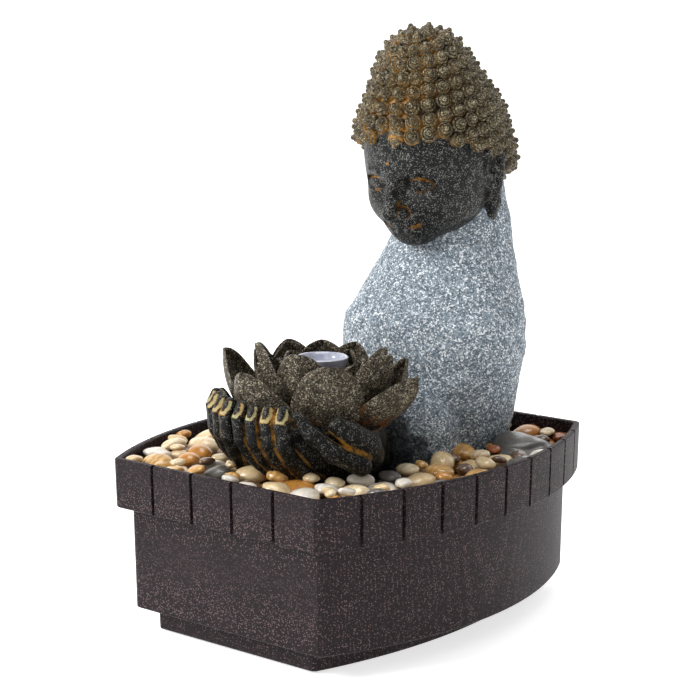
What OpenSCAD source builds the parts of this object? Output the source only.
// Tabletop water fountain: a basin of pebbles, a cast figure that holds a lotus, and a pump below.
// Origin: centre of the footprint, on the surface it stands on. +Z is up and the figure faces -Y.

/* [Basin] */
// Length of the rim, from flat end to flat end
rim_length = 200; // [190:1:240]
// Width of the rim along each flat end
rim_end_width = 120; // [110:1:130]
// Width of the rim across its bowed middle
rim_mid_width = 173; // [165:1:200]
// Height of the rim above the table
rim_height = 82; // [68:1:98]
// Height of the band under the rim
band_height = 23; // [18:1:28]
// Thickness of the basin's walls
wall = 3; // [2:0.1:3.6]
// Thickness of the basin's floor
floor_thickness = 3; // [2.4:0.1:4]
// Step from the band in to the body
body_inset = 7; // [5:0.5:9]
// Length of the plinth
plinth_length = 173; // [150:1:175]
// Width of the plinth along each flat end
plinth_end_width = 94; // [80:1:96]
// Width of the plinth across its bowed middle
plinth_mid_width = 124; // [110:1:130]
// Height of the plinth
plinth_height = 10; // [6:1:14]
// Width of the upright grooves in the band
groove_width = 1.8; // [1:0.1:3]
// Depth of the upright grooves in the band
groove_depth = 1.8; // [0.8:0.1:2]
// Grooves on each bowed side
side_grooves = 9; // [5:1:13]
// Grooves on each flat end
end_grooves = 4; // [2:1:8]

/* [Feet and grommet] */
// Radius of a foot pad
pad_radius = 6; // [4:0.5:8]
// How far a foot pad stands out of its recess
pad_stand = 0.8; // [0.4:0.1:1.5]
// Depth of a foot pad's recess
pad_recess = 1; // [0.5:0.1:1.4]
// Radius of the hole for the cord in the back wall
grommet_radius = 4.5; // [3:0.5:6]
// Radius of the grommet's own hole
grommet_bore = 2.2; // [1.5:0.1:2.6]

/* [Pebble deck] */
// Thickness of the deck
deck_thickness = 2.4; // [1.8:0.1:3.2]
// Gap between the deck's edge and the band
deck_gap = 0.5; // [0.3:0.1:1]
// Radius of a drain hole
drain_radius = 1.8; // [1:0.1:2.5]
// Distance between drain holes
drain_pitch = 19; // [14:1:26]
// Radius of the deck's legs
leg_radius = 4; // [3:0.5:6]

/* [Pump] */
// Width of the pump
pump_width = 34; // [30:1:40]
// Height of the pump's case
pump_height = 28; // [26:1:30]
// Thickness of the pump's shells
shell = 1.6; // [1.2:0.1:2]
// Length of the motor case
motor_length = 41; // [38:1:48]
// Length of the strainer cover
strainer_length = 24; // [22:1:28]
// Thickness of the volute's flange
flange_thickness = 2; // [1.5:0.1:3]
// Height of a suction cup
cup_height = 4; // [3:0.5:6]
// Radius of the impeller's chamber
chamber_radius = 10.4; // [9.8:0.1:10.6]
// Radius of the impeller
impeller_radius = 9; // [8:0.1:9.2]
// Number of impeller blades
blade_count = 6; // [4:1:8]
// Radius of the rotor magnet
magnet_radius = 5.6; // [5:0.1:5.8]
// Radius of the well that the rotor runs in
well_radius = 6.3; // [6.2:0.1:6.6]
// Radius of the shaft
shaft_radius = 1; // [0.8:0.1:1.2]
// Radial clearance of the impeller on its shaft
running_clearance = 0.05; // [0.03:0.01:0.1]
// Travel of the flow slider
slider_travel = 8; // [5:1:9]
// Outer radius of the outlet
outlet_radius = 3.5; // [3:0.1:4]
// Bore radius of the outlet
outlet_bore = 2.4; // [1.8:0.1:2.6]
// Height of the outlet above the pump's case
outlet_height = 8; // [6:0.5:9]
// Wall of the riser tube
tube_wall = 1.2; // [1:0.1:1.6]
// Clearance round the riser tube where the figure lifts off it
tube_clearance = 0.4; // [0.3:0.1:0.8]

/* [Figure] */
// Distance from the torso's middle to the rim's back
torso_setback = 40; // [38:1:46]
// Scale of the torso's plan
torso_scale = 1; // [0.8:0.05:1.05]
// Radius of the hollow inside the torso
torso_hollow = 18; // [12:1:20]
// Height of the head's seat above the deck
head_rise = 147; // [140:1:150]
// Lean of the hairline's plane
head_lean = 15; // [10:1:18]
// Scale of the head and hair
head_scale = 1; // [0.9:0.05:1]
// Height of the hair knobs
knob_height = 3.4; // [2:0.2:4]
// Radius of the pins that locate the figure
pin_radius = 2.5; // [2:0.1:3]

/* [Lotus] */
// Distance from the torso's middle forward to the lotus
lotus_reach = 85; // [80:1:90]
// Height of the cupped hands
hands_height = 36; // [34:1:38]
// Radius of the palms' outside at the top
hands_radius = 49; // [46:1:52]
// Thickness of the palms
palm_thickness = 7; // [5:0.5:9]
// Petals in each ring
petal_count = 8; // [6:1:9]
// Thickness of a petal
petal_thickness = 2.2; // [1.6:0.1:3]
// Radius of the spout cup's rim
cup_radius = 11; // [10:0.5:12]
// Height of the spout cup
cup_depth = 13; // [11:0.5:14]

/* [Pebbles] */
// Distance between neighbouring pebbles
pebble_pitch = 15.6; // [12:0.1:20]
// Radius of the smallest pebble
pebble_small = 5.4; // [4:0.1:6]
// Radius of the largest pebble
pebble_large = 7.4; // [6:0.1:9]
// Length of the large slate stone
slate_length = 27; // [22:1:30]

/* [Hidden] */
eps = 0.01;
big = 400;

// Basin levels
base_z = pad_stand;
floor_z = base_z + floor_thickness;
plinth_top = base_z + plinth_height;
band_bottom = rim_height - band_height;
ledge_z = band_bottom + wall;
deck_top = ledge_z + deck_thickness;
grommet_z = ledge_z - 12;

// Places of the figure's groups
torso_y = rim_length / 2 - torso_setback;
lotus_y = torso_y - lotus_reach;
pin_x = 27 * torso_scale;

// Pump: it lies along Y with its intake towards -Y, and its outlet stands under the lotus
pump_x = -7;
pump_z = floor_z + cup_height;
axis_z = pump_z + pump_height / 2;
volute_depth = 12;
motor_front = lotus_y + volute_depth / 2;
motor_back = motor_front + motor_length;
flange_front = motor_front - flange_thickness;
strainer_front = flange_front - strainer_length;
outlet_top = pump_z + pump_height + outlet_height;
volute_radius = chamber_radius + shell;
cavity_x = pump_width / 2 - 2;
cavity_z = pump_height / 2 - 2;
well_depth = 22;
well_outer = well_radius + 1;
magnet_length = 14;
magnet_start = 3;
hub_radius = 2;
bush_radius = 2.4;
bush_length = 2.5;
ring_radius = 0.65;
screw_inset = 3.6;
screw_radius = 1.2;
gland_x = 7.5;
gland_z = 8;
gland_bore = 1.8;
slider_width = 9;
slider_height = 12;
slider_plate = 1.4;
slider_gap = 0.2;
slider_x = -slider_travel / 2 - 1;
tube_inner = outlet_radius;
tube_radius = tube_inner + tube_wall;
tube_hole = tube_radius + tube_clearance;

// Stator: a U-shaped stack whose legs lie on either side of the rotor's well
leg_inner = well_outer + 0.4;
leg_width = 3.4;
leg_height = 9;
core_start = 4;
core_end = motor_length - 6;
yoke_width = 4;
coil_start = well_depth + 3;
coil_end = core_end - yoke_width - 0.6;
bobbin_wall = 0.8;
winding_depth = 1.9;

// Lotus and hands, as heights above the deck
palm_floor = 15;
heart_top = 48;
cup_z = deck_top + heart_top;
tube_top = cup_z + 4.5;

// Side bow: radius of the arc through the two ends of a side and its middle
function bow_radius(length, end_width, mid_width) =
    let (rise = (mid_width - end_width) / 2, half = length / 2)
    (half * half + rise * rise) / (2 * rise);

rim_bow = bow_radius(rim_length, rim_end_width, rim_mid_width);
plinth_bow = bow_radius(plinth_length, plinth_end_width, plinth_mid_width);

// A repeatable value from 0 to 1 for each pair of whole numbers
function scatter(i, j, seed) =
    let (v = sin(i * 127.1 + j * 311.7 + seed * 74.7) * 437.5)
    v - floor(v);

// Slab with flat ends and bowed sides, its outline moved in by inset
module bowed_slab(height, length, mid_width, bow, inset) {
    radius = bow - inset;
    offset_x = mid_width / 2 - bow;
    intersection() {
        translate([offset_x, 0, 0]) cylinder(r = radius, h = height, $fn = 240);
        translate([-offset_x, 0, 0]) cylinder(r = radius, h = height, $fn = 240);
        translate([-mid_width, -length / 2 + inset, 0])
            cube([2 * mid_width, length - 2 * inset, height]);
    }
}

module rim_slab(height, inset) {
    bowed_slab(height, rim_length, rim_mid_width, rim_bow, inset);
}

module plinth_slab(height, inset) {
    bowed_slab(height, plinth_length, plinth_mid_width, plinth_bow, inset);
}

// Closed solid through a stack of rings that all have the same number of points
module loft(rings) {
    n = len(rings[0]);
    last = len(rings) - 1;
    sides = [
        for (k = [0:last - 1], i = [0:n - 1])
            let (j = (i + 1) % n)
            each [
                [k * n + i, (k + 1) * n + i, (k + 1) * n + j],
                [k * n + i, (k + 1) * n + j, k * n + j],
            ]
    ];
    bottom = [for (i = [0:n - 1]) i];
    top = [for (i = [n - 1:-1:0]) last * n + i];
    polyhedron([for (ring = rings) each ring], concat(sides, [bottom, top]), convexity = 6);
}

// Oval ring at height z, with its centre at y; power below 1 makes it squarer
function oval(z, y, a, b, n, power = 1) = [
    for (i = [0:n - 1])
        let (c = cos(360 * i / n), s = sin(360 * i / n))
        [a * sign(c) * pow(abs(c), power), y + b * sign(s) * pow(abs(s), power), z]
];

// Lies along +Y from y = 0, for the pump's round pieces
module along_y(y) {
    translate([pump_x, y, axis_z]) rotate([-90, 0, 0]) children();
}

// Block centred on the pump's axis in X and Z, from y0 to y1
module pump_block(half_x, half_z, y0, y1) {
    translate([pump_x - half_x, y0, axis_z - half_z]) cube([2 * half_x, y1 - y0, 2 * half_z]);
}

// ---- basin ----

module band_grooves() {
    cut_z = band_bottom - 1;
    cut_h = band_height + 2;
    sweep = asin(rim_length / 2 / rim_bow);
    centre_x = rim_mid_width / 2 - rim_bow;
    for (side = [-1, 1], k = [1:side_grooves]) {
        turn = -sweep + 2 * sweep * k / (side_grooves + 1);
        scale([side, 1, 1])
            translate([centre_x, 0, cut_z])
            rotate([0, 0, turn])
            translate([rim_bow - groove_depth, -groove_width / 2, 0])
            cube([2 * groove_depth, groove_width, cut_h]);
    }
    for (side = [-1, 1], k = [1:end_grooves]) {
        x = -rim_end_width / 2 + rim_end_width * k / (end_grooves + 1);
        translate([x - groove_width / 2, side * rim_length / 2 - groove_depth, cut_z])
            cube([groove_width, 2 * groove_depth, cut_h]);
    }
}

module at_pads() {
    for (x = [-1, 1], y = [-1, 1])
        translate([x * (plinth_end_width / 2 - pad_radius - 4), y * (plinth_length / 2 - pad_radius - 8), 0])
            children();
}

module basin() {
    color("#453c40")
    difference() {
        union() {
            translate([0, 0, band_bottom]) rim_slab(band_height, 0);
            translate([0, 0, plinth_top]) rim_slab(band_bottom - plinth_top + eps, body_inset);
            translate([0, 0, base_z]) plinth_slab(plinth_height + eps, 0);
        }
        translate([0, 0, ledge_z]) rim_slab(band_height, wall);
        translate([0, 0, plinth_top + floor_thickness]) rim_slab(rim_height, body_inset + wall);
        translate([0, 0, floor_z]) plinth_slab(plinth_height + eps, wall);
        band_grooves();
        at_pads() translate([0, 0, base_z - 1]) cylinder(r = pad_radius, h = pad_recess + 1, $fn = 48);
        translate([0, 0, grommet_z]) rotate([-90, 0, 0]) cylinder(r = grommet_radius, h = rim_length, $fn = 48);
    }
}

module foot_pads() {
    color("#1c1c1c")
    at_pads() cylinder(r = pad_radius, h = base_z + pad_recess, $fn = 48);
}

module cord_grommet() {
    outer_y = rim_length / 2 - body_inset;
    lip = 1.4;
    color("#202022")
    translate([0, outer_y - wall, grommet_z]) rotate([-90, 0, 0]) difference() {
        union() {
            cylinder(r = grommet_radius, h = wall, $fn = 48);
            translate([0, 0, -lip]) cylinder(r = grommet_radius + 1.6, h = lip, $fn = 48);
            translate([0, 0, wall]) cylinder(r = grommet_radius + 1.6, h = lip, $fn = 48);
        }
        translate([0, 0, -lip - 1]) cylinder(r = grommet_bore, h = wall + 2 * lip + 2, $fn = 48);
    }
}

// ---- deck ----

module at_pins() {
    for (x = [-pin_x, pin_x])
        translate([x, torso_y, 0]) children();
}

module deck_legs() {
    leg_x = min(pump_width / 2 + 22, plinth_end_width / 2 - leg_radius);
    for (x = [-leg_x, leg_x], y = [-plinth_length / 4, plinth_length / 4])
        translate([x, y, floor_z]) cylinder(r = leg_radius, h = ledge_z - floor_z + eps, $fn = 32);
}

module deck() {
    columns = floor(rim_mid_width / 2 / drain_pitch);
    rows = floor((rim_length / 2 - wall - 6) / drain_pitch);
    edge_bow = rim_bow - wall - 8;
    color("#26262a")
    difference() {
        union() {
            translate([0, 0, ledge_z]) rim_slab(deck_thickness, wall + deck_gap);
            deck_legs();
        }
        for (i = [-columns:columns], j = [-rows:rows]) {
            x = (i + 0.5 * (j % 2)) * drain_pitch;
            y = j * drain_pitch;
            edge = rim_mid_width / 2 - rim_bow + sqrt(edge_bow * edge_bow - y * y);
            to_tube = norm([x, y - lotus_y]);
            to_pin = min(norm([x - pin_x, y - torso_y]), norm([x + pin_x, y - torso_y]));
            if (abs(x) < edge && to_tube > tube_hole + drain_radius + 3 && to_pin > pin_radius + drain_radius + 2)
                translate([x, y, ledge_z - 1]) cylinder(r = drain_radius, h = deck_thickness + 2, $fn = 24);
        }
        translate([0, lotus_y, 0]) cylinder(r = tube_hole, h = rim_height, $fn = 48);
        at_pins() cylinder(r = pin_radius, h = rim_height, $fn = 32);
    }
}

module figure_pins() {
    color("#b9bcc0")
    at_pins() translate([0, 0, ledge_z]) {
        cylinder(r = pin_radius, h = deck_thickness + 9, $fn = 32);
        translate([0, 0, deck_thickness + 9]) cylinder(r1 = pin_radius, r2 = pin_radius - 1, h = 1.5, $fn = 32);
    }
}

// ---- pump ----

module at_cups() {
    for (x = [-1, 1], y = [motor_front + 7, motor_back - 7])
        translate([pump_x + x * (pump_width / 2 - 6), y, floor_z]) children();
}

module pump_suction_cups() {
    color("#2b2b2e")
    at_cups() {
        difference() {
            cylinder(r1 = 5.4, r2 = 2.6, h = cup_height, $fn = 32);
            translate([0, 0, -eps]) cylinder(r1 = 4.4, r2 = 0.6, h = cup_height / 2, $fn = 32);
        }
        translate([0, 0, cup_height]) cylinder(r = 1.2, h = 1.5, $fn = 24);
    }
}

module at_screws() {
    for (x = [-1, 1], z = [-1, 1])
        translate([pump_x + x * (pump_width / 2 - screw_inset), motor_back, axis_z + z * (pump_height / 2 - screw_inset)])
            children();
}

module screw_bosses() {
    for (x = [-1, 1], z = [-1, 1])
        translate([pump_x + x * (pump_width / 2 - 3) - 3, motor_back - 12, axis_z + z * (pump_height / 2 - 3) - 3])
            cube([6, 12, 6]);
}

// The motor case's dry inside, round the rotor's well
module motor_cavity() {
    difference() {
        pump_block(cavity_x, cavity_z, motor_front + 3, motor_back);
        along_y(motor_front) cylinder(r = well_outer, h = well_depth, $fn = 64);
        screw_bosses();
    }
}

module pump_housing() {
    color("#1f2225")
    difference() {
        pump_block(pump_width / 2, pump_height / 2, motor_front, motor_back);
        motor_cavity();
        along_y(motor_front - 1) cylinder(r = well_radius, h = well_depth - 3, $fn = 64);
        along_y(motor_front) cylinder(r = bush_radius, h = well_depth - 1.2, $fn = 32);
        at_screws() rotate([90, 0, 0]) translate([0, 0, -eps]) cylinder(r = screw_radius, h = 9, $fn = 24);
        at_cups() translate([0, 0, cup_height - eps]) cylinder(r = 1.2, h = 1.5 + eps, $fn = 24);
        along_y(motor_front - eps) difference() {
            cylinder(r = chamber_radius + 2 * ring_radius + 0.1, h = 2 * ring_radius + 2 * eps, $fn = 64);
            translate([0, 0, -1]) cylinder(r = chamber_radius, h = 4, $fn = 64);
        }
    }
}

module pump_sealing_ring() {
    color("#3a3a3a")
    along_y(motor_front + ring_radius)
    rotate_extrude($fn = 64)
    translate([chamber_radius + ring_radius + 0.05, 0]) circle(r = ring_radius, $fn = 24);
}

module pump_volute_cover() {
    front_y = motor_front - volute_depth;
    color("#2a2d31")
    difference() {
        union() {
            pump_block(pump_width / 2, pump_height / 2, flange_front, motor_front);
            along_y(front_y) cylinder(r = volute_radius, h = volute_depth, $fn = 64);
            translate([0, lotus_y, axis_z]) cylinder(r = outlet_radius, h = outlet_top - axis_z, $fn = 48);
            translate([0, lotus_y, axis_z]) cylinder(r = outlet_radius + 1, h = pump_height / 2 + 2, $fn = 48);
        }
        along_y(front_y + shell) cylinder(r = chamber_radius, h = volute_depth, $fn = 64);
        translate([0, lotus_y, axis_z]) cylinder(r = outlet_bore, h = outlet_top, $fn = 48);
        along_y(front_y - 1) difference() {
            cylinder(r = 6.4, h = shell + 2, $fn = 48);
            cylinder(r = bush_radius + 1.2, h = shell + 2, $fn = 48);
            for (turn = [0, 120, 240])
                rotate([0, 0, turn]) translate([0, -0.7, 0]) cube([9, 1.4, shell + 2]);
        }
        along_y(front_y - 1) cylinder(r = bush_radius, h = shell + 2, $fn = 32);
    }
}

module pump_shaft_bushes() {
    front_y = motor_front - volute_depth;
    color("#4a4a4c")
    for (y = [front_y, motor_front + well_depth - 1.2 - bush_length])
        along_y(y) difference() {
            cylinder(r = bush_radius, h = y == front_y ? shell : bush_length, $fn = 32);
            translate([0, 0, -1]) cylinder(r = shaft_radius, h = bush_length + 2, $fn = 32);
        }
}

module pump_shaft() {
    front_y = motor_front - volute_depth;
    color("#d9dcde")
    along_y(front_y) cylinder(r = shaft_radius, h = volute_depth + well_depth - 1.2, $fn = 32);
}

module pump_impeller() {
    front_y = motor_front - volute_depth + shell + 0.6;
    hub_end = motor_front + well_depth - 1.2 - bush_length - 0.4;
    disc_y = motor_front - 2;
    bore = shaft_radius + running_clearance;
    color("#e4e2da")
    difference() {
        union() {
            along_y(front_y) cylinder(r = hub_radius, h = hub_end - front_y, $fn = 32);
            along_y(disc_y) cylinder(r = impeller_radius, h = 1.2, $fn = 64);
            for (k = [0:blade_count - 1])
                along_y(front_y + 0.6) rotate([0, 0, k * 360 / blade_count])
                    translate([0, -0.6, 0]) cube([impeller_radius - 0.4, 1.2, disc_y - front_y]);
        }
        along_y(front_y - 1) cylinder(r = bore, h = hub_end - front_y + 2, $fn = 32);
    }
}

module pump_rotor_magnet() {
    color("#55565a")
    along_y(motor_front + magnet_start) difference() {
        cylinder(r = magnet_radius, h = magnet_length, $fn = 48);
        translate([0, 0, -1]) cylinder(r = hub_radius, h = magnet_length + 2, $fn = 32);
    }
}

module pump_strainer_cover() {
    half_x = pump_width / 2;
    half_z = pump_height / 2;
    slot_count = 7;
    rail_z = slider_height / 2 + slider_gap;
    color("#24272a")
    difference() {
        union() {
            difference() {
                pump_block(half_x, half_z, strainer_front, flange_front);
                pump_block(half_x - shell, half_z - shell, strainer_front + shell, flange_front + 1);
            }
            for (side = [-1, 1]) {
                translate([pump_x, strainer_front, axis_z]) scale([1, 1, side])
                    translate([-half_x + 2, -slider_plate - 2 * slider_gap, rail_z])
                    cube([2 * half_x - 4, slider_plate + 2 * slider_gap + eps, 1.2]);
                translate([pump_x, strainer_front - slider_plate - 2 * slider_gap, axis_z]) scale([1, 1, side])
                    translate([-half_x + 2, -1, rail_z - 1])
                    cube([2 * half_x - 4, 1 + eps, 2.2]);
            }
        }
        for (k = [0:slot_count - 1]) {
            x = pump_x - 12 + 24 * k / (slot_count - 1);
            translate([x - 0.8, strainer_front - eps, axis_z - 4.5]) cube([1.6, shell + 1, 9]);
        }
        translate([0, lotus_y, axis_z]) cylinder(r = outlet_radius + 1.3, h = pump_height, $fn = 48);
        translate([-outlet_radius - 1.3, lotus_y, axis_z + half_z - shell - 1])
            cube([2 * outlet_radius + 2.6, volute_depth, shell + 2]);
    }
}

module pump_flow_slider() {
    back_y = strainer_front - slider_gap;
    color("#c9c8c2")
    translate([pump_x + slider_x, back_y, axis_z]) {
        translate([-slider_width / 2, -slider_plate, -slider_height / 2])
            cube([slider_width, slider_plate, slider_height]);
        translate([-1, -slider_plate - 2.4, -3]) cube([2, 2.4 + eps, 6]);
    }
}

module pump_stator_core() {
    leg_mid = leg_inner + leg_width / 2;
    color("#8b8f94")
    translate([pump_x, motor_front, axis_z - leg_height / 2]) {
        for (side = [-1, 1])
            translate([side * leg_mid - leg_width / 2, core_start, 0])
                cube([leg_width, core_end - core_start, leg_height]);
        translate([-leg_mid - leg_width / 2, core_end - yoke_width, 0])
            cube([2 * leg_mid + leg_width, yoke_width, leg_height]);
    }
}

// Square tube round a stator leg, from depth y0 to y1, its walls from inner to outer
module leg_sleeve(side, y0, y1, inner, outer) {
    mid = side * (leg_inner + leg_width / 2);
    translate([pump_x + mid, motor_front, axis_z]) difference() {
        translate([-leg_width / 2 - outer, y0, -leg_height / 2 - outer])
            cube([leg_width + 2 * outer, y1 - y0, leg_height + 2 * outer]);
        translate([-leg_width / 2 - inner, y0 - 1, -leg_height / 2 - inner])
            cube([leg_width + 2 * inner, y1 - y0 + 2, leg_height + 2 * inner]);
    }
}

module pump_bobbins() {
    color("#e9e6dc")
    for (side = [-1, 1]) {
        leg_sleeve(side, coil_start, coil_end, 0, bobbin_wall);
        for (y = [coil_start, coil_end - 0.8])
            leg_sleeve(side, y, y + 0.8, 0, bobbin_wall + winding_depth);
    }
}

module pump_windings() {
    color("#b06a35")
    for (side = [-1, 1])
        leg_sleeve(side, coil_start + 0.8, coil_end - 0.8, bobbin_wall, bobbin_wall + winding_depth);
}

module pump_potting() {
    color("#101214")
    difference() {
        motor_cavity();
        pump_stator_core();
        for (side = [-1, 1])
            leg_sleeve(side, coil_start, coil_end, 0, bobbin_wall + winding_depth);
    }
}

module pump_back_plate() {
    color("#1f2225")
    difference() {
        pump_block(pump_width / 2, pump_height / 2, motor_back, motor_back + 2);
        at_screws() rotate([-90, 0, 0]) translate([0, 0, -1]) cylinder(r = screw_radius, h = 4, $fn = 24);
        along_y(motor_back - 1) translate([gland_x, -gland_z, 0]) cylinder(r = 3, h = 4, $fn = 32);
    }
}

module pump_screws() {
    color("#c7c9cc")
    at_screws() {
        rotate([90, 0, 0]) translate([0, 0, -2]) cylinder(r = screw_radius, h = 10, $fn = 24);
        rotate([-90, 0, 0]) translate([0, 0, 2]) cylinder(r = 2.1, h = 1.2, $fn = 24);
    }
}

module pump_cable_gland() {
    color("#18191b")
    along_y(motor_back) translate([gland_x, -gland_z, 0]) difference() {
        union() {
            cylinder(r = 3, h = 2, $fn = 32);
            translate([0, 0, 2]) cylinder(r = 4, h = 2, $fn = 32);
            translate([0, 0, 4]) cylinder(r1 = 3.4, r2 = 2.6, h = 8, $fn = 32);
        }
        translate([0, 0, -1]) cylinder(r = gland_bore, h = 14, $fn = 32);
    }
}

module riser_tube() {
    start_z = pump_z + pump_height + 2.4;
    color("#d6dade")
    translate([0, lotus_y, 0]) difference() {
        translate([0, 0, start_z]) cylinder(r = tube_radius, h = tube_top - start_z, $fn = 48);
        cylinder(r = tube_inner, h = big, $fn = 48);
    }
}

// ---- figure ----

// Torso rings: height above the deck, shift back, half width, half depth
torso_rings = [
    [0, 0, 38, 26],
    [26, 0, 42, 29],
    [56, -1, 49, 31],
    [69, 0, 48.5, 31.5],
    [77, 4, 43, 32],
    [93, 9, 36, 29],
    [109, 14, 30, 24.5],
    [122, 16, 27, 22],
    [135, 17, 24, 20],
];

module torso_form() {
    translate([0, torso_y, deck_top])
    loft([
        for (r = torso_rings)
            oval(r[0], r[1], r[2] * torso_scale, r[3] * torso_scale, 28, 0.85)
    ]);
}

// Frame whose XY plane holds the hairline, with the face towards -Y
module in_head() {
    translate([0, torso_y - 2, deck_top + head_rise])
        rotate([-head_lean, 0, 0])
        scale(head_scale)
        children();
}

// Head rings, downwards from the hairline: height, shift back, half width, half depth
head_rings = [
    [-49, 7, 11, 12],
    [-42, 6, 20, 20],
    [-34, 5, 26, 26],
    [-24, 3, 30, 30],
    [-12, 1, 31.5, 34],
    [0, -1, 32, 36],
];

module head_form() {
    in_head() loft([for (r = head_rings) oval(r[0], r[1], r[2], r[3], 28)]);
}

module ear(side) {
    in_head() translate([side * 31, 3, 0]) hull() {
        translate([0, 0, -8]) sphere(r = 5, $fn = 16);
        translate([side * 0.5, -1, -27]) sphere(r = 3, $fn = 16);
    }
}

module nose() {
    in_head() hull() {
        translate([0, -32, -10]) sphere(r = 2, $fn = 16);
        translate([0, -29, -26]) sphere(r = 4, $fn = 16);
    }
}

module dowel_hole() {
    translate([0, torso_y + 2, deck_top + 92]) children();
}

module torso() {
    color("#8b95a0")
    difference() {
        torso_form();
        head_form();
        translate([0, torso_y, deck_top - 1]) cylinder(r = torso_hollow, h = 71, $fn = 64);
        at_pins() translate([0, 0, deck_top - 1]) cylinder(r = pin_radius + 0.3, h = 13, $fn = 32);
        dowel_hole() cylinder(r = 3, h = 30, $fn = 32);
    }
}

module neck_dowel() {
    color("#b9bcc0")
    dowel_hole() cylinder(r = 3, h = 36, $fn = 32);
}

module head() {
    color("#2b2c2e")
    difference() {
        union() {
            head_form();
            ear(-1);
            ear(1);
            nose();
        }
        dowel_hole() cylinder(r = 3, h = 36, $fn = 32);
    }
}

// Hair rings, upwards from the hairline: height, shift back, half width, half depth
hair_rings = [
    [0, -2, 33.5, 37.5],
    [12, -6, 35, 38],
    [24, -10, 32.5, 35],
    [36, -15, 26, 28],
    [44, -19, 18, 20],
    [49, -21, 13, 14],
    [54, -23, 9, 10],
    [59, -25, 3, 3],
];

// Size of the hair at height h, between the two rings on either side of it
function hair_at(h) =
    let (k = max([for (i = [0:len(hair_rings) - 2]) h >= hair_rings[i][0] ? i : 0]))
    let (low = hair_rings[k], high = hair_rings[k + 1])
    low + (high - low) * (h - low[0]) / (high[0] - low[0]);

hair_rows = 11;
knobs_round = 20;

// Ring with a knob at every third point, on odd rings, staggered from row to row
function knobbly(row) =
    let (top = hair_rings[len(hair_rings) - 1][0], r = hair_at(top * row / (2 * hair_rows)), n = 3 * knobs_round)
    [
        for (i = [0:n - 1])
            let (
                peak = row % 2 == 1 && (i + (row % 4 == 1 ? 0 : 1)) % 3 == 0,
                out = peak ? knob_height : 0,
                t = 360 * i / n
            )
            [(r[2] + out) * cos(t), r[1] + (r[3] + out) * sin(t), r[0]]
    ];

module hair() {
    color("#4a4132")
    in_head() loft([for (row = [0:2 * hair_rows]) knobbly(row)]);
}

// ---- hands and lotus ----

// Outside of the cupped palms: share of the height, share of the top radius
palm_rings = [[0, 0.56], [0.28, 0.66], [0.42, 0.74], [0.56, 0.83], [0.72, 0.93], [1, 1]];

module palm_form(inset) {
    translate([0, lotus_y, deck_top])
    loft([
        for (r = palm_rings)
            let (radius = hands_radius * r[1] - inset, z = r[0] * hands_height + (inset > 0 ? palm_floor : 0))
            oval(z, 0, radius, radius, 36)
    ]);
}

module finger(turn, height) {
    translate([0, lotus_y, deck_top]) rotate([0, 0, turn]) hull() {
        translate([hands_radius - 7, 0, 20]) sphere(r = 3, $fn = 12);
        translate([hands_radius - 1, 0, 30]) sphere(r = 3, $fn = 12);
        translate([hands_radius - 2, 0, height - 3]) sphere(r = 3, $fn = 12);
    }
}

module forearm(side) {
    hull() {
        translate([side * 24, lotus_y + 20, deck_top + 15]) sphere(r = 11, $fn = 16);
        translate([side * 20, torso_y - 26, deck_top + 20]) sphere(r = 12, $fn = 16);
    }
}

// Turn of the line between the hands, seen from above, at the front and at the back
hands_split_front = -103;
hands_split_back = 90;

module hand(side, turns) {
    difference() {
        union() {
            intersection() {
                palm_form(0);
                translate([0, lotus_y, 0]) linear_extrude(big)
                    polygon([
                        [0, 0],
                        big * [cos(hands_split_front), sin(hands_split_front)],
                        side * [big, -big],
                        side * [big, big],
                        [0, big],
                    ]);
            }
            for (k = [0:len(turns) - 1])
                finger(turns[k], hands_height + 4 - k % 2);
            forearm(side);
        }
        palm_form(palm_thickness);
        torso_form();
        translate([0, lotus_y, 0]) cylinder(r = tube_hole, h = big, $fn = 48);
    }
}

module left_hand() {
    color("#26272a") hand(1, [-70, -79, -88, -97]);
}

module right_hand() {
    color("#26272a") hand(-1, [-109, -118, -128, -138]);
}

module heart_form() {
    translate([0, lotus_y, deck_top]) rotate_extrude($fn = 64)
        polygon([[0, palm_floor], [13, palm_floor], [19, 24], [20, 32], [17, 40], [12, heart_top], [0, heart_top]]);
}

module lotus_heart() {
    color("#5a5240")
    difference() {
        heart_form();
        translate([0, lotus_y, 0]) cylinder(r = tube_hole, h = big, $fn = 48);
    }
}

// Petal: a cupped leaf from its root at radius r0, height z0 to its tip at r1, z1
module petal(r0, z0, r1, z1, half_width, cup, rise) {
    steps = 6;
    across = 4;
    function path(t) = [r0 + (r1 - r0) * t, z0 + (z1 - z0) * pow(t, rise)];
    function width(t) = half_width * max(0.07, pow(sin(180 * (0.16 + 0.84 * t)), 0.7));
    function face(t, s, lift) =
        let (
            d = path(t + 0.01) - path(t - 0.01),
            n = [-d[1], d[0]] / norm(d),
            p = path(t) + n * (cup * s * s * width(t) / half_width + lift)
        )
        [p[0], s * width(t), p[1]];
    rings = [
        for (k = [0:steps])
            let (t = 0.02 + 0.96 * k / steps)
            concat(
                [for (i = [0:across]) face(t, -1 + 2 * i / across, -petal_thickness / 2)],
                [for (i = [across:-1:0]) face(t, -1 + 2 * i / across, petal_thickness / 2)]
            )
    ];
    loft(rings);
}

// Ring of petals whose roots end on the heart
module petal_ring(turn, r0, z0, r1, z1, half_width, cup, rise) {
    difference() {
        for (k = [0:petal_count - 1])
            translate([0, lotus_y, deck_top])
                rotate([0, 0, turn + k * 360 / petal_count])
                petal(r0, z0, r1, z1, half_width, cup, rise);
        heart_form();
    }
}

module lotus_outer_petals() {
    color("#6b6350")
    petal_ring(22.5, 17, 26, 44, 56, 15, 4, 1.5);
}

module lotus_middle_petals() {
    color("#6b6350")
    petal_ring(0, 16, 35, 34, 60, 12, 3, 1.4);
}

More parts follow.
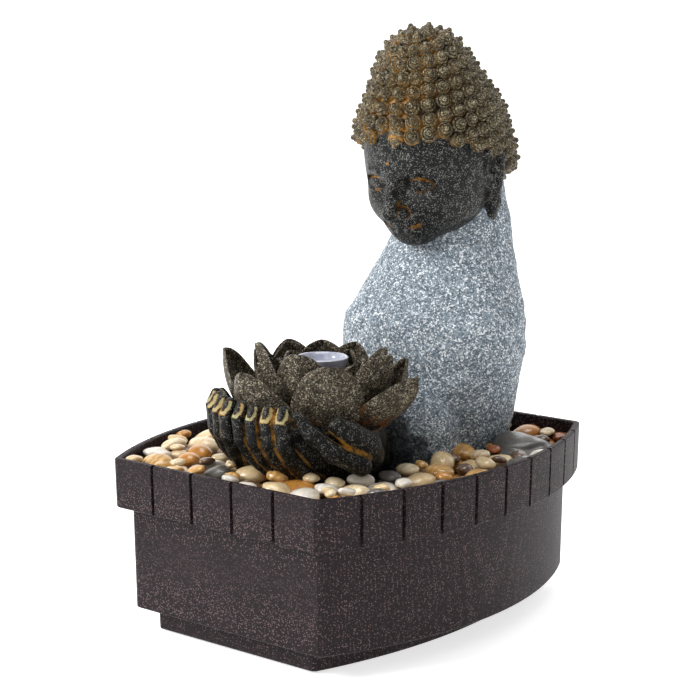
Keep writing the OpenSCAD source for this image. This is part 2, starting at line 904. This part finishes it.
module lotus_inner_petals() {
    color("#6b6350")
    petal_ring(22.5, 12, 42, 23, 59, 8, 2, 1.3);
}

module spout_cup() {
    color("#cfcade")
    translate([0, lotus_y, cup_z]) rotate_extrude($fn = 64)
        polygon([
            [tube_hole, 0], [8, 0], [9, 3], [cup_radius - 1, cup_depth - 3],
            [cup_radius, cup_depth - 1], [cup_radius - 0.6, cup_depth], [cup_radius - 1.6, cup_depth - 0.4],
            [7.6, 3.4], [tube_hole, 2.6],
        ]);
}

// ---- pebbles ----

slate_place = [40 * torso_scale + slate_length / 2 + 1.5, torso_y - 2];

// Room from a point to the band's inside, less a pebble's own radius
function band_room(p) =
    min(
        rim_length / 2 - wall - abs(p[1]),
        rim_bow - wall - norm([abs(p[0]) + rim_bow - rim_mid_width / 2, p[1]])
    );

// Room from a point to the torso, taken as the squarish oval of its foot
function torso_room(p) =
    let (q = [p[0] / 44, (p[1] - torso_y) / 31] / torso_scale)
    (norm(q) - 1) * 31;

function pebble_fits(p, r) =
    band_room(p) > r + 0.6
    && torso_room(p) > r
    && norm([p[0], p[1] - lotus_y]) > hands_radius * 0.7 + r
    && norm(p - slate_place) > slate_length / 2 + r
    && (abs(p[0]) > 36 + r || p[1] < lotus_y || p[1] > torso_y);

pebble_largest = min(pebble_large, pebble_pitch / 2 - 0.2);
pebble_columns = ceil(rim_mid_width / 2 / pebble_pitch);
pebble_rows = ceil(rim_length / 2 / pebble_pitch / 0.87);

// Each pebble: its place, radius, height and colour group
pebbles = [
    for (j = [-pebble_rows:pebble_rows], i = [-pebble_columns:pebble_columns])
        let (
            r = pebble_small + (pebble_largest - pebble_small) * scatter(i, j, 1),
            slack = pebble_pitch / 2 - pebble_largest,
            p = [
                (i + 0.5 * (abs(j) % 2)) * pebble_pitch + slack * (scatter(i, j, 2) - 0.5),
                j * 0.87 * pebble_pitch + slack * (scatter(i, j, 3) - 0.5),
            ],
            h = r * (1 + 0.7 * scatter(i, j, 4))
        )
        if (pebble_fits(p, r)) [p, r, h, floor(6 * scatter(i, j, 5))]
];

// Round-edged pebble that rests on z = 0
module pebble(r, h) {
    turns = [-90, -60, -30, 0, 30, 60, 90];
    rotate_extrude($fn = 24)
        polygon([
            for (t = turns)
                [abs(t) == 90 ? 0 : r * pow(cos(t), 0.8), h / 2 + h / 2 * sin(t)]
        ]);
}

module pebble_group(group) {
    for (k = pebbles)
        if (k[3] == group)
            translate([k[0][0], k[0][1], deck_top]) pebble(k[1], k[2]);
}

module pebbles_cream() {
    color("#d9c7a0") pebble_group(0);
}

module pebbles_quartz() {
    color("#e6e2d8") pebble_group(1);
}

module pebbles_amber() {
    color("#c98a3c") pebble_group(2);
}

module pebbles_russet() {
    color("#9a4f28") pebble_group(3);
}

module pebbles_brown() {
    color("#6b4a38") pebble_group(4);
}

module pebbles_grey() {
    color("#7d7a75") pebble_group(5);
}

module slate_stone() {
    color("#3b3a3c")
    translate([slate_place[0], slate_place[1], deck_top]) pebble(slate_length / 2, slate_length * 0.45);
}

basin();
foot_pads();
cord_grommet();
deck();
figure_pins();
pump_suction_cups();
pump_housing();
pump_volute_cover();
pump_strainer_cover();
pump_flow_slider();
pump_impeller();
pump_rotor_magnet();
pump_shaft();
pump_shaft_bushes();
pump_sealing_ring();
pump_stator_core();
pump_bobbins();
pump_windings();
pump_potting();
pump_back_plate();
pump_screws();
pump_cable_gland();
riser_tube();
torso();
neck_dowel();
head();
hair();
left_hand();
right_hand();
lotus_heart();
lotus_outer_petals();
lotus_middle_petals();
lotus_inner_petals();
spout_cup();
pebbles_cream();
pebbles_quartz();
pebbles_amber();
pebbles_russet();
pebbles_brown();
pebbles_grey();
slate_stone();
